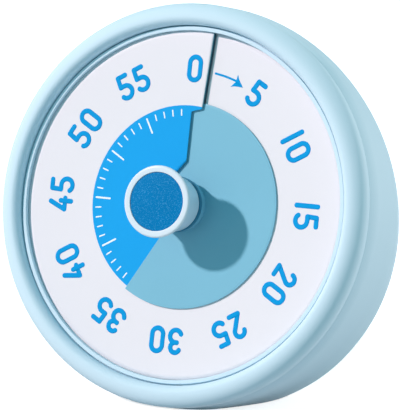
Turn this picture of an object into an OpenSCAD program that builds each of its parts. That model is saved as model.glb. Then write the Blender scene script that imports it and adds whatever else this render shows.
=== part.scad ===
// Visual countdown timer: a round case that leans back on a flat base. A disc comes out of a slit in the
// dial as the knob is turned, and is drawn back in as the minutes run down.
// +X is to the right of someone who reads the dial, +Y is to the back and +Z is up. The origin lies on the
// base, straight below the middle of the dial.

/* [Case] */
// Outer radius of the case wall
case_r = 44.5; // [44:0.5:48]
// How far the dial leans back from upright, in degrees
tilt = 13.5; // [12:0.5:15]
// How much the flat base takes off the case wall
base_cut = 0.27; // [0.2:0.01:0.3]
// Distance from the middle of the dial to the flat back
back_y = 17.75; // [17.25:0.25:21]
// Wall of the rear case
wall = 2; // [1.6:0.1:2.2]
// Radius of the rounding between the wall and the back
back_round = 2.5; // [1.5:0.5:4]
// How strongly the wall draws in towards the back
wall_draw = 0.0115; // [0.0085:0.001:0.0155]

/* [Bezel] */
// Radius of the rounded rim
rim_tube = 3.25; // [2.8:0.05:3.6]
// How far the rim's inner side falls inwards from its crest
rim_inner = 1.6; // [1.3:0.1:1.9]
// How far the rim stays inside the case wall, which swells out to its full radius behind the seam
seam_step = 0.55; // [0.5:0.05:0.8]
// Height of the rim's middle above the mean dial
rim_z = 0.2; // [0:0.1:0.5]
// Width of the ring between the bezel and the dial
ring_w = 1.2; // [1:0.05:1.6]

/* [Dial] */
// Rise of the dial, and of the disc, over one turn
pitch = 1; // [0.95:0.05:1.2]
// Thickness of the dial plate
dial_t = 0.4; // [0.3:0.05:0.45]
// Radius of the hole in the middle of the dial
dial_hole_r = 7.3; // [7.2:0.1:9]
// Radius at which the slit steps sideways
slit_step_r = 21; // [19:0.5:22]
// Distance of the outer slit's inner end from the 0 line
slit_offset = 2.45; // [1.5:0.05:3]
// How far the outer slit leans to the right per millimetre of radius
slit_lean = 0.06; // [0:0.01:0.08]
// Width of the outer slit
slit_w = 0.3; // [0.2:0.05:0.5]

/* [Disc] */
// Radius of the time disc
disc_r = 22.5; // [20:0.5:26]
// Thickness of the time disc
disc_t = 0.25; // [0.2:0.01:0.3]
// Clearance between the disc and the dial under it
disc_gap = 0.17; // [0.14:0.01:0.2]
// Minutes that the disc shows
minutes = 35; // [30:1:45]
// Radius of the disc's hub
hub_r = 5.6; // [5.4:0.1:6]

/* [Knob] */
// Radius of the knob's head
head_r = 7.8; // [7.2:0.1:9]
// Height of the knob's end above the mean dial
knob_top = 12.75; // [11:0.25:16]
// Radius of the inlay in the knob's end
inlay_r = 6.35; // [5.5:0.05:6.5]
// Thickness of the inlay
inlay_t = 0.6; // [0.4:0.1:1]
// Radius of the barrel where it meets the head
barrel_top_r = 6.5; // [6.2:0.1:6.8]
// Radius of the barrel at its foot
barrel_foot_r = 5.95; // [5.6:0.05:6.1]
// Radius of the collar under the barrel
collar_r = 6.1; // [5.9:0.05:6.4]
// Radius of the stem that the disc slides on
stem_r = 3; // [2.6:0.1:3.4]
// Radius of the steel arbor
arbor_r = 1.5; // [1.2:0.1:1.6]

/* [Movement] */
// Thickness of the chassis plate
chassis_t = 1.8; // [1.6:0.1:2]
// Module of the teeth
tooth = 0.25; // [0.24:0.005:0.25]
// Thickness of a wheel
wheel_t = 0.8; // [0.6:0.1:0.8]
// Radius of the pins that the wheels run on
pin_r = 0.4; // [0.3:0.05:0.5]
// Radius of the rotor's magnet
magnet_r = 2.5; // [2:0.1:2.6]
// Wall of the movement cover
cover_wall = 1; // [0.8:0.1:1]

/* [Battery] */
// Radius of the cell
cell_r = 7.25; // [7:0.05:7.4]
// Length of the cell without its button
cell_len = 49.2; // [48:0.2:49.6]
// Play round the cell in its bay
bay_play = 0.45; // [0.3:0.05:0.6]
// Wall of the battery bay
bay_wall = 1.2; // [1:0.1:1.4]
// Radius of the battery door's hinge pins
door_pin_r = 0.6; // [0.5:0.05:0.7]

/* [Back] */
// Radius of the buzzer
buzzer_r = 9; // [8:0.5:9.5]
// Distance of the buzzer's middle from the outside of the case wall
buzzer_inset = 16; // [14.5:0.5:16]
// Distance of the volume switch's middle from the outside of the case wall
switch_inset = 19; // [17.5:0.5:20]
// Travel of the volume slider
slider_travel = 4; // [3:0.5:5]
// Distance of the case screws from the outside of the case wall
screw_inset = 4.3; // [4.1:0.1:4.5]

/* [Hidden] */
$fn = 96;

fit = 0.04;          // radial clearance of a running fit
part_gap = 0.05;     // gap between pieces that are only laid together
eps = 0.01;
far = 200;

// case and bezel
dial_height = case_r * cos(tilt) - base_cut;
rim_r = case_r - seam_step - rim_tube;
seam_z = -0.9;
lip_r = rim_r - rim_inner;
ring_out_r = lip_r - part_gap;
dial_r = lip_r - ring_w;
lip_z = 1.2;
ring_top = lip_z + 0.1;
groove_w = 0.25;
groove_depth = 0.5;
rabbet_in = 1.6;
swell = 3.6;
draw_from = 12.9;
back_drop = 2.7;
inner_wall_r = case_r - wall - 0.1;
rabbet_r = case_r - rabbet_in;
tongue_t = 0.85;
tongue_h = 2.4;

// chassis and dial, from the front to the back
dial_low = -pitch / 2;
chassis_z = dial_low - pitch - 0.5;
chassis_back = chassis_z - chassis_t;
chassis_low = (wall + part_gap - dial_height - chassis_back * sin(tilt)) / cos(tilt);
skirt_w = 1.2;
steps = 72;

// disc
disc_angle = minutes * 6;
disc_sheet_z = dial_low + disc_gap;
disc_in_r = hub_r / cos(180 / steps) + eps;
hub_foot = disc_sheet_z + pitch * (disc_angle - 360) / 360 - 0.25;
hub_top = disc_sheet_z + pitch * disc_angle / 360 + disc_t + 1.6;
hub_edge = 0.2;
disc_lift = pitch * (360 - disc_angle) / 360;

// knob
collar_foot = hub_top + disc_lift + 0.25;
collar_h = 0.95;
groove_h = 0.3;
barrel_foot = collar_foot + collar_h + groove_h;
head_round = 0.5;
lip_round = 0.12;
head_z = knob_top - head_round;
inlay_floor = knob_top - 0.2 - inlay_t;
stem_foot = chassis_z + 0.2;
arbor_top = head_z - 3.5;
stem_flat = stem_r - 0.5;

// movement levels, from the chassis to the back
level = wheel_t + 0.5;
level_1 = chassis_back - 0.5;
level_2 = level_1 - level;
level_3 = level_2 - level;
level_4 = level_3 - wheel_t - 0.25;
stator_t = 0.7;
leg_w = 1.6;
magnet_t = 1.4;
cover_in = level_4 - magnet_t - 0.7;
cover_back = cover_in - cover_wall;
wheel_1_teeth = 60;
wheel_teeth = 48;
pinion_teeth = 12;
angle_12 = 0;
angle_23 = 120;
angle_34 = 167;
axis_2 = (wheel_1_teeth + pinion_teeth) * tooth / 2 * [cos(angle_12), sin(angle_12)];
reach = (wheel_teeth + pinion_teeth) * tooth / 2;
axis_3 = axis_2 + reach * [cos(angle_23), sin(angle_23)];
axis_4 = axis_3 + reach * [cos(angle_34), sin(angle_34)];
cover_left = -17.5;
cover_right = 17;
cover_low = -10;
cover_high = 14.2;
coil_x = -12.5;
coil_r = 1.6;
coil_core_r = 1.2;
coil_flange_t = 0.6;
coil_low = -3;
coil_high = 6;
coil_z = level_4 - stator_t / 2;

// where the plane y meets the height s of the leaning frame, measured towards the front
function lean_z(s, y) = (s * sin(tilt) - y) / cos(tilt);
function lean_up(y, z) = y * sin(tilt) + (z - dial_height) * cos(tilt);
function clock(r, a) = [r * sin(a), r * cos(a)];

// battery
inner_y = back_y - wall;
cell_y = inner_y - bay_play - cell_r;
cell_s = -22.6;
cell_z = lean_z(cell_s, cell_y);
contact_t = 0.4;
button_len = 1.3;
bay_x = cell_len / 2 + button_len + contact_t + 1;
bay_low = cell_s - cell_r - bay_play;
bay_high = cell_s + cell_r + bay_play;
bay_front = chassis_back - 0.4;
door_low = dial_height + (bay_low - back_y * sin(tilt)) / cos(tilt);
door_high = dial_height + (bay_high - back_y * sin(tilt)) / cos(tilt);
door_edge = 0.4;
door_axis_y = back_y - wall / 2;
door_axis_z = door_low + door_edge + wall / 2;

// back
buzzer_x = case_r - buzzer_inset;
buzzer_z = dial_height + 10;
buzzer_t = 1.2;
switch_x = case_r - switch_inset;
switch_z = dial_height + 8;
switch_s = lean_up(inner_y, switch_z);
board_z = chassis_back - 3;
board_t = 1;
screw_r = 1.1;
screw_head_r = 2.1;
screw_head_h = 1.4;
post_r = 1.9;
post_end = chassis_back - 2.6;
boss_r = 3.4;
screw_angles = [40, 112, 248, 320];
screw_ring_r = case_r - screw_inset;
slider_w = 3;
slider_h = 2.2;
slot_play = 0.3;

// dial's hole beside the slit
chamfer_start = 9.6;
chamfer_slope = 1.2;

// gears and clutch
pressure = 25;
addendum = 0.8 * tooth;
dedendum = 1.1 * tooth;
backlash = 0.05;
clutch_t = 0.35;
flange_t = 0.4;
flange_r = 2.2;
clutch_r = 3.6;
clutch_seat = 1;
clutch_foot = 0.12;

// small screws and posts of the movement
cover_posts = [
    [cover_left + 2, cover_high - 2],
    [cover_right - 2, cover_low + 2],
    [cover_left + 2, cover_low + 2]
];
cover_post_r = 1.8;
pin_seat = 1;
small_head_r = 1.6;
small_head_h = 0.7;
small_screw_r = 0.8;

// circuit board and its parts
board_low = -9;
board_high = 14;
board_left = switch_x - 7.5;
board_right = switch_x + 7.5;
board_posts = [[board_left + 2, board_low + 2.5], [board_right - 2, board_high - 4.5]];
board_back = board_z - board_t;
switch_body = [10, 4, 2.6];
contact_w = 9;
chip_r = 3.2;
chip_t = 1.2;
crystal_r = 1;
crystal_len = 6;

module on_face() translate([0, 0, dial_height]) rotate([90 - tilt, 0, 0]) children();

module at_screws() {
    for (a = screw_angles) {
        p = clock(screw_ring_r, a);
        translate([p[0], p[1], 0]) children();
    }
}

// points of an arc about c, from angle a to angle b
function arc(c, rx, ry, a, b, n = 12) =
    [for (i = [0:n]) let (t = a + (b - a) * i / n) [c[0] + rx * cos(t), c[1] + ry * sin(t)]];

// ---- case

module bezel_section() {
    roof = rim_z + rim_tube - 1.8;
    polygon(concat(
        [[lip_r, chassis_z]],
        [[lip_r, lip_z]],
        arc([rim_r, lip_z], rim_inner, rim_z + rim_tube - lip_z, 180, 90, 10),
        arc([rim_r, rim_z], rim_tube, rim_tube, 86, 0, 18),
        [[rim_r + rim_tube, seam_z],
         [rabbet_r - part_gap, seam_z], [rabbet_r - part_gap, seam_z - tongue_h],
         [rabbet_r - part_gap - tongue_t, seam_z - tongue_h], [rabbet_r - part_gap - tongue_t, roof - 1.2],
         [rabbet_r - part_gap - tongue_t - 1.2, roof], [lip_r + 1.5, roof - 0.6], [lip_r + 1.5, chassis_z]]));
}

module front_bezel() {
    color("#cfe8f4") on_face() {
        difference() {
            union() {
                rotate_extrude() bezel_section();
                intersection() {
                    at_screws() translate([0, 0, post_end]) cylinder(r = post_r, h = rim_z - post_end);
                    translate([0, 0, post_end]) cylinder(r = rabbet_r - part_gap, h = far);
                    difference() {
                        translate([0, 0, -far / 2]) cylinder(r = far, h = far);
                        translate([0, 0, chassis_z]) cylinder(r = lip_r + 0.2, h = far);
                    }
                }
            }
            at_screws() translate([0, 0, post_end - eps]) cylinder(r = screw_r, h = 5);
        }
    }
}

// radius of the case wall at depth d behind the mean dial
function wall_r(d) =
    case_r - seam_step * pow(max(0, 1 - (d + seam_z) / swell), 2) - wall_draw * pow(max(0, d - draw_from), 2);

module case_outline(inset, front) {
    deep = 34;
    n = 12;
    polygon(concat(
        [[0, front]],
        inset == 0 ? [for (i = [0:5]) let (d = swell * i / 5 - seam_z) [wall_r(d), -d]]
                   : [[inner_wall_r, front]],
        [for (i = [0:n]) let (d = draw_from + (deep - draw_from) * i / n)
            [wall_r(d) - (inset == 0 ? 0 : case_r - inner_wall_r), -d]],
        [[0, -deep]]));
}

// everything in front of the back and above the base, with the back's edge rounded
module back_and_base(inset) {
    mid_z = dial_height - back_drop;
    edge_r = case_r - 0.2 - inset;
    translate([0, 0, mid_z]) rotate([90, 0, 0]) rotate_extrude(convexity = 4)
        polygon(concat(
            [[0, -(back_y - inset)]],
            arc([edge_r - back_round, -(back_y - inset - back_round)], back_round, back_round, -90, 0, 8),
            [[edge_r + 4, -(back_y - 20)], [edge_r + 4, far / 2], [0, far / 2]]));
}

module rear_shell() {
    difference() {
        intersection() {
            on_face() rotate_extrude() case_outline(0, seam_z);
            back_and_base(0);
            translate([-far / 2, -far / 2, 0]) cube(far);
        }
        intersection() {
            on_face() rotate_extrude() case_outline(wall, seam_z + 2);
            back_and_base(wall);
            translate([-far / 2, -far / 2, wall]) cube(far);
        }
        on_face() translate([0, 0, seam_z - tongue_h - 0.1]) cylinder(r = rabbet_r, h = 10);
    }
}

module inside_of_shell() {
    intersection() {
        on_face() rotate_extrude() case_outline(0, seam_z);
        back_and_base(wall / 2);
        translate([-far / 2, -far / 2, wall / 2]) cube(far);
        on_face() translate([0, 0, -far]) cylinder(r = case_r - wall, h = far);
    }
}

module bay_block(play) {
    translate([-bay_x - play, bay_low - play, -far / 2])
        cube([2 * bay_x + 2 * play, bay_high - bay_low + 2 * play, far / 2 + bay_front]);
}

module rear_ledge() {
    translate([0, 0, chassis_back - part_gap - 2]) difference() {
        cylinder(r = inner_wall_r + 0.5, h = 2);
        translate([0, 0, -1]) cylinder(r = inner_wall_r - 1.6, h = 4);
    }
}

module rear_case() {
    color("#c4dfec") difference() {
        union() {
            rear_shell();
            intersection() {
                inside_of_shell();
                union() {
                    on_face() bay_block(bay_wall);
                    on_face() at_screws() translate([0, 0, -far / 2])
                        cylinder(r = boss_r, h = far / 2 + post_end - part_gap);
                    on_face() rear_ledge();
                    translate([-buzzer_x, inner_y + 1, buzzer_z]) rotate([90, 0, 0])
                        cylinder(r = buzzer_r + 1, h = 1 + buzzer_t + 0.8);
                }
            }
        }
        on_face() bay_block(0);
        on_face() at_screws() {
            translate([0, 0, -far / 2]) cylinder(r = screw_r + 0.3, h = far);
            p = post_end - 1.2;
            translate([0, 0, p - far / 2]) cylinder(r = screw_head_r + 0.2, h = far / 2);
            translate([0, 0, post_end - part_gap]) cylinder(r = post_r + 0.2, h = far / 2 - 50);
        }
        translate([-buzzer_x, inner_y, buzzer_z]) rotate([90, 0, 0]) {
            cylinder(r = buzzer_r - 1, h = 10);
            translate([0, 0, 0.8]) cylinder(r = buzzer_r + part_gap, h = 10);
        }
        for (i = [-2:2])
            translate([-buzzer_x + i * 3, back_y, buzzer_z])
                cube([1.4, 4 * wall, 12 - 2 * abs(i)], center = true);
        on_face() translate([switch_x, switch_s, -far / 2 + board_z - 4])
            cube([slider_travel + slider_w + 2 * slot_play, slider_h + 2 * slot_play, far], center = true);
        for (side = [-1, 1]) translate([side * bay_x, door_axis_y, door_axis_z]) rotate([0, 90, 0])
            cylinder(r = door_pin_r + fit, h = 2 * 1.2 + 0.2, center = true);
    }
}

module dial_ring() {
    low = chassis_z + part_gap;
    side = ring_out_r - groove_w;
    floor_z = ring_top - groove_depth;
    color("#b5d8e8") on_face() rotate_extrude()
        polygon([[dial_r + part_gap, low], [ring_out_r, low], [ring_out_r, floor_z - groove_w], [side, floor_z],
                 [side, ring_top], [dial_r + part_gap, ring_top]]);
}

function dial_z(a) = dial_low + pitch * a / 360;
function slit_x(r) = slit_offset + slit_lean * max(0, r - slit_step_r);
function start_angle(r) = asin((slit_x(r) + slit_w) / r);
function end_angle(r) = r < slit_step_r ? 360 : 360 + asin(slit_x(r) / r);

// the dial's hole, cut off straight beside the slit
function hole_edge(a) =
    a < 310 ? dial_hole_r
            : max(dial_hole_r, chamfer_start / (cos(360 - a) + chamfer_slope * sin(360 - a)));

// corners of the dial's section at share u of the turn: radius, and height from the dial's face, or the
// height of its foot
function dial_corner(r, drop, u) =
    let (a = start_angle(r) + (end_angle(r) - start_angle(r)) * u, p = clock(r, a))
    [p[0], p[1], dial_z(a) - drop];

function dial_foot(r, u) = let (p = dial_corner(r, 0, u)) [p[0], p[1], chassis_z];

function dial_loop(u) =
    let (inner = hole_edge(360 * u), near = slit_step_r - 0.15, off = slit_step_r + 0.15,
         skirt = dial_r - skirt_w)
    [dial_corner(inner, dial_t, u), dial_corner(near, dial_t, u), dial_corner(off, dial_t, u),
     dial_corner(skirt, dial_t, u), dial_foot(skirt, u), dial_foot(dial_r, u), dial_corner(dial_r, 0, u),
     dial_corner(off, 0, u), dial_corner(near, 0, u), dial_corner(inner, 0, u)];

// triangles between n + 1 loops of k corners each
function skin(n, k) =
    [for (i = [0:n - 1]) for (j = [0:k - 1])
        let (a = i * k + j, b = i * k + (j + 1) % k, c = b + k, d = a + k) each [[a, d, c], [a, c, b]]];

function flip(face) = [for (i = [len(face) - 1:-1:0]) face[i]];

module dial_plate() {
    ends = [[0, 1, 8, 9], [1, 2, 7, 8], [2, 3, 6, 7], [3, 4, 5, 6]];
    last = steps * 10;
    color("#eef1fa") on_face()
        polyhedron(points = [for (i = [0:steps]) each dial_loop(i / steps)],
                   faces = concat(skin(steps, 10), ends, [for (e = ends) flip([for (v = e) v + last])]));
}

module chassis() {
    color("#dfe6ea") intersection() {
        back_and_base(wall + part_gap);
        on_face() difference() {
            union() {
                intersection() {
                    translate([0, 0, chassis_back])
                        cylinder(r = rabbet_r - part_gap - tongue_t - 0.2, h = chassis_t);
                    translate([-far / 2, chassis_low, -far / 2]) cube(far);
                }
                for (p = board_posts) translate([p[0], p[1], board_z])
                    cylinder(r = 1.8, h = chassis_back - board_z + eps);
            }
            translate([0, 0, chassis_back - 1]) cylinder(r = arbor_r + fit, h = chassis_t + 2);
            at_screws() translate([0, 0, chassis_back - 1]) cylinder(r = post_r + 0.15, h = chassis_t + 2);
            for (p = [axis_2, axis_3, axis_4]) translate([p[0], p[1], chassis_back - 1])
                cylinder(r = pin_r, h = 1 + pin_seat);
            for (p = cover_posts) translate([p[0], p[1], 0]) {
                translate([0, 0, chassis_z - small_head_h]) cylinder(r = small_head_r + part_gap, h = 2);
                translate([0, 0, chassis_back - 1]) cylinder(r = small_screw_r + 0.1, h = 5);
            }
        }
    }
}

// ---- disc and knob

function disc_corner(r, lift, a) =
    let (p = clock(r, a)) [p[0], p[1], disc_sheet_z + pitch * a / 360 + lift];

module time_disc() {
    turn = 359.6;
    color("#88c9e3") on_face()
        polyhedron(points = [for (i = [0:steps]) let (a = disc_angle - turn + turn * i / steps)
                                each [disc_corner(disc_in_r, 0, a), disc_corner(disc_r, 0, a),
                                      disc_corner(disc_r, disc_t, a), disc_corner(disc_in_r, disc_t, a)]],
                   faces = concat(skin(steps, 4), [[0, 1, 2, 3]], [flip([for (v = [0:3]) v + 4 * steps])]));
}

module stem_shape(r, flat, low, high) {
    translate([0, 0, low]) intersection() {
        cylinder(r = r, h = high - low);
        translate([-far / 2, -far / 2, -eps]) cube([far, far / 2 + flat, far]);
    }
}

module disc_hub() {
    color("#88c9e3") on_face() difference() {
        rotate_extrude() polygon(concat(
            [[0, hub_foot], [hub_r, hub_foot]],
            arc([hub_r - hub_edge, hub_top - hub_edge], hub_edge, hub_edge, 0, 90, 4),
            [[0, hub_top]]));
        stem_shape(stem_r + fit, stem_flat + fit, hub_foot - 1, hub_top + 1);
    }
}

module knob() {
    under = head_z - 2.6;
    color("#dff0f8") on_face() difference() {
        union() {
            rotate_extrude() polygon(concat(
                [[0, collar_foot], [collar_r, collar_foot], [collar_r, collar_foot + collar_h],
                 [barrel_foot_r - 0.4, collar_foot + collar_h], [barrel_foot_r - 0.4, barrel_foot],
                 [barrel_foot_r, barrel_foot]],
                arc([head_r, under], head_r - barrel_top_r, head_z - under, 180, 96, 10),
                arc([head_r - head_round, head_z], head_round, head_round, 0, 90, 8),
                arc([inlay_r + lip_round, knob_top - lip_round], lip_round, lip_round, 90, 180, 4),
                [[inlay_r, inlay_floor], [0, inlay_floor]]));
            stem_shape(stem_r, stem_flat, stem_foot, collar_foot + eps);
        }
        translate([0, 0, stem_foot - 1]) cylinder(r = arbor_r, h = arbor_top - stem_foot + 1);
    }
}

module knob_inlay() {
    color("#1082c8") on_face() translate([0, 0, inlay_floor]) cylinder(r = inlay_r - part_gap, h = inlay_t);
}

// ---- movement

module arbor() {
    flange_top = level_1 - wheel_t - clutch_t;
    color("#b9bcc0") on_face() {
        translate([0, 0, cover_back + 0.3]) cylinder(r = arbor_r, h = arbor_top - cover_back - 0.3);
        translate([0, 0, flange_top - flange_t]) cylinder(r = flange_r, h = flange_t);
    }
}

// polar angle of the involute of a circle of radius rb where it reaches radius r
function involute_angle(rb, r) = let (t = sqrt(max(0, pow(r / rb, 2) - 1))) t * 180 / PI - atan(t);

// half the angle of a tooth at radius r, for n teeth
function half_tooth(n, r) =
    let (rp = n * tooth / 2, rb = rp * cos(pressure))
    90 / n - backlash / 2 / rp * 180 / PI + involute_angle(rb, rp) - involute_angle(rb, max(r, rb));

function polar(r, a) = [r * cos(a), r * sin(a)];

// a gear's outline with n teeth and the middle of one tooth at angle phase
module gear(n, phase) {
    rp = n * tooth / 2;
    root = rp - dedendum;
    low = max(root, rp * cos(pressure));
    tip = rp + addendum;
    side = [root - 0.001, low, (low + rp) / 2, rp, tip];
    polygon([for (k = [0:n - 1]) let (c = phase + 360 * k / n)
        each concat([for (r = side) polar(r, c - half_tooth(n, r))],
                    [for (i = [4:-1:0]) polar(side[i], c + half_tooth(n, side[i]))])]);
}

module gear_wheel(n, phase, z) {
    translate([0, 0, z - wheel_t]) linear_extrude(wheel_t) gear(n, phase);
}

module pinion(phase, z) {
    translate([0, 0, z - wheel_t - 0.1]) linear_extrude(wheel_t + 0.2) gear(pinion_teeth, phase);
}

module windows(count, r, ring) {
    for (i = [0:count - 1]) rotate(360 * i / count) translate([ring, 0, -far / 2]) cylinder(r = r, h = far);
}

module time_wheel() {
    color("#f0efe6") on_face() difference() {
        gear_wheel(wheel_1_teeth, angle_12, level_1);
        translate([0, 0, -far / 2]) cylinder(r = arbor_r, h = far);
        windows(5, 1.1, 5);
    }
}

module clutch_spring() {
    z = level_1 - wheel_t;
    color("#c8cacc") on_face() rotate_extrude()
        polygon([[arbor_r + fit, z - clutch_t], [flange_r, z - clutch_t], [clutch_r, z - clutch_foot],
                 [clutch_r, z], [clutch_r - clutch_seat, z], [arbor_r + fit, z - clutch_t + clutch_foot]]);
}

// a wheel with a pinion in front of it, both turning on a pin
module wheel_and_pinion(centre, pinion_phase, wheel_phase, pinion_level, wheel_level) {
    color("#f0efe6") on_face() translate([centre[0], centre[1], 0]) difference() {
        union() {
            pinion(pinion_phase, pinion_level);
            translate([0, 0, wheel_level - wheel_t]) cylinder(r = 1.1, h = pinion_level - wheel_level + 0.1);
            gear_wheel(wheel_teeth, wheel_phase, wheel_level);
        }
        translate([0, 0, -far / 2]) cylinder(r = pin_r + fit, h = far);
        windows(4, 1, 3.6);
    }
}

module second_wheel() {
    wheel_and_pinion(axis_2, angle_12 + 180 + 180 / pinion_teeth, angle_23, level_1, level_2);
}

module third_wheel() {
    wheel_and_pinion(axis_3, angle_23 + 180 + 180 / pinion_teeth, angle_34, level_2, level_3);
}

module rotor() {
    color("#3c3f45") on_face() translate([axis_4[0], axis_4[1], 0]) difference() {
        union() {
            pinion(angle_34 + 180 + 180 / pinion_teeth, level_3);
            translate([0, 0, level_4 - magnet_t]) cylinder(r = 1.1, h = level_3 - level_4 + magnet_t - 0.1);
            translate([0, 0, level_4 - magnet_t]) cylinder(r = magnet_r, h = magnet_t);
        }
        translate([0, 0, -far / 2]) cylinder(r = pin_r + fit, h = far);
    }
}

module train_pins() {
    color("#b9bcc0") on_face() for (p = [axis_2, axis_3, axis_4])
        translate([p[0], p[1], cover_in]) cylinder(r = pin_r, h = chassis_back + pin_seat - cover_in);
}

module stator() {
    ring_r = magnet_r + 2.1;
    arm_high = axis_4[1] + 1.2;
    arm_low = coil_low - 2.2;
    color("#9a9da1") on_face() translate([0, 0, level_4 - stator_t]) difference() {
        union() {
            translate([axis_4[0], axis_4[1], 0]) cylinder(r = ring_r, h = stator_t);
            translate([coil_x - leg_w / 2, arm_low, 0]) cube([leg_w, arm_high + leg_w - arm_low, stator_t]);
            translate([coil_x, arm_high, 0]) cube([axis_4[0] - coil_x - magnet_r, leg_w, stator_t]);
            translate([coil_x, arm_low, 0]) cube([axis_4[0] - coil_x - 1.5, leg_w, stator_t]);
            translate([axis_4[0] - 3.1, arm_low, 0]) cube([leg_w, axis_4[1] - arm_low - 1, stator_t]);
        }
        translate([axis_4[0], axis_4[1], -1]) cylinder(r = magnet_r + 0.4, h = 3);
    }
}

module coil_bobbin() {
    color("#e8e2cf") on_face() difference() {
        union() {
            translate([coil_x, coil_low, coil_z]) rotate([-90, 0, 0])
                cylinder(r = coil_core_r, h = coil_high - coil_low);
            for (s = [coil_low - coil_flange_t, coil_high])
                translate([coil_x, s, coil_z]) rotate([-90, 0, 0])
                    cylinder(r = coil_r + 0.1, h = coil_flange_t);
        }
        translate([coil_x - leg_w / 2, coil_low - 2, coil_z - stator_t / 2])
            cube([leg_w, coil_high - coil_low + 4, stator_t]);
    }
}

module coil_winding() {
    color("#b4622d") on_face() translate([coil_x, coil_low, coil_z]) rotate([-90, 0, 0]) difference() {
        cylinder(r = coil_r, h = coil_high - coil_low);
        translate([0, 0, -1]) cylinder(r = coil_core_r, h = far);
    }
}

module movement_cover() {
    w = cover_right - cover_left;
    d = cover_high - cover_low;
    color("#e4e7ea") on_face() difference() {
        union() {
            difference() {
                translate([cover_left, cover_low, cover_back]) cube([w, d, chassis_back - cover_back]);
                translate([cover_left + cover_wall, cover_low + cover_wall, cover_in])
                    cube([w - 2 * cover_wall, d - 2 * cover_wall, far]);
            }
            intersection() {
                for (p = cover_posts) translate([p[0], p[1], cover_in - eps])
                    cylinder(r = cover_post_r, h = chassis_back - cover_in + eps);
                translate([cover_left, cover_low, cover_in - eps]) cube([w, d, far]);
            }
            for (s = [axis_4[1] + 2, coil_low - 1.4]) translate([coil_x, s, cover_in - eps])
                cylinder(r = 0.8, h = level_4 - stator_t - cover_in + eps);
        }
        for (p = cover_posts) translate([p[0], p[1], cover_in + 1]) cylinder(r = small_screw_r, h = far);
        translate([0, 0, cover_back - 1]) cylinder(r = arbor_r + fit, h = 5);
    }
}

module movement_screws() {
    color("#b9bcc0") on_face() for (p = cover_posts) translate([p[0], p[1], 0]) difference() {
        union() {
            translate([0, 0, chassis_z - small_head_h]) cylinder(r = small_head_r, h = small_head_h);
            translate([0, 0, cover_in + 1.5]) cylinder(r = small_screw_r, h = chassis_z - cover_in - 2);
        }
        for (turn = [0, 90]) rotate(turn) translate([-1, -0.2, chassis_z - 0.35]) cube([2, 0.4, 1]);
    }
}

// ---- electrics and battery

module circuit_board() {
    color("#2e7d4f") on_face() translate([board_left, board_low, board_back])
        cube([board_right - board_left, board_high - board_low, board_t]);
}

module crystal_and_chip() {
    color("#22252b") on_face() {
        translate([board_left + 5.5, board_low + 5, board_back - chip_t]) cylinder(r = chip_r, h = chip_t);
        translate([board_left + 11, board_low + 2, board_back - crystal_r]) rotate([-90, 0, 0])
            cylinder(r = crystal_r, h = crystal_len);
    }
}

module volume_switch() {
    color("#c8cacc") on_face()
        translate([switch_x - switch_body[0] / 2, switch_s - switch_body[1] / 2, board_back - switch_body[2]])
            difference() {
                cube(switch_body);
                translate([1, 1, -1]) cube([switch_body[0] - 2, switch_body[1] - 2, 2.2]);
            }
}

module volume_slider() {
    foot = board_back - switch_body[2];
    color("#33363b") intersection() {
        on_face() translate([switch_x - slider_travel / 2, switch_s, foot]) {
            translate([-slider_w / 2, -slider_h / 2, -0.1 - far / 2]) cube([slider_w, slider_h, far / 2]);
            translate([-0.9, -0.8, -1]) cube([1.8, 1.6, 2]);
        }
        translate([-far / 2, -far / 2, 0]) cube([far, far / 2 + back_y - 0.3, far]);
    }
}

module buzzer() {
    color("#d8b25a") translate([-buzzer_x, inner_y - 0.8, buzzer_z]) rotate([90, 0, 0]) {
        cylinder(r = buzzer_r, h = 0.3);
        translate([0, 0, 0.3]) cylinder(r = buzzer_r * 0.62, h = 0.3);
    }
}

module along_cell(x) {
    on_face() translate([x, cell_s, cell_z]) rotate([0, 90, 0]) children();
}

module battery() {
    color("#4b4f57") along_cell(-cell_len / 2) cylinder(r = cell_r, h = cell_len);
}

module battery_button() {
    color("#c8cacc") along_cell(cell_len / 2) cylinder(r = 2.75, h = button_len);
}

module positive_contact() {
    plate_x = cell_len / 2 + button_len;
    color("#c8cacc") on_face() {
        translate([plate_x, cell_s - contact_w / 2, cell_z - contact_w / 2])
            cube([contact_t, contact_w, contact_w]);
        translate([plate_x, cell_s - contact_w / 2, cell_z + contact_w / 2 - contact_t])
            cube([bay_x - plate_x, contact_w, contact_t]);
    }
}

module negative_contact() {
    bow = bay_x - cell_len / 2 - contact_t;
    n = 10;
    xs = [for (i = [-n:n]) (bow - 0.4) * cos(90 * i / n)];
    color("#c8cacc") on_face() translate([-bay_x, cell_s, cell_z]) {
        translate([0, -contact_w / 2, -contact_w / 2]) cube([contact_t, contact_w, contact_w]);
        translate([contact_t - 0.05, 2.5, 0]) rotate([90, 0, 0]) linear_extrude(5)
            polygon(concat([for (i = [0:2 * n]) [xs[i], (i - n) * 4 / n]],
                           [for (i = [2 * n:-1:0]) [xs[i] + 0.4, (i - n) * 4 / n]]));
    }
}

module battery_door() {
    w = 2 * bay_x - 2 * door_edge;
    top = door_high - door_edge;
    grip_z = top - 4;
    color("#c4dfec") difference() {
        union() {
            translate([-w / 2, inner_y, door_axis_z]) cube([w, wall, top - door_axis_z]);
            translate([-w / 2, door_axis_y, door_axis_z]) rotate([0, 90, 0]) cylinder(r = wall / 2, h = w);
            translate([-bay_x - 1.1, door_axis_y, door_axis_z]) rotate([0, 90, 0])
                cylinder(r = door_pin_r, h = 2 * bay_x + 2.2);
        }
        for (i = [0:3]) translate([-6, back_y - 0.5, grip_z - 1.6 * i]) cube([12, 1, 0.8]);
    }
}

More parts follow.
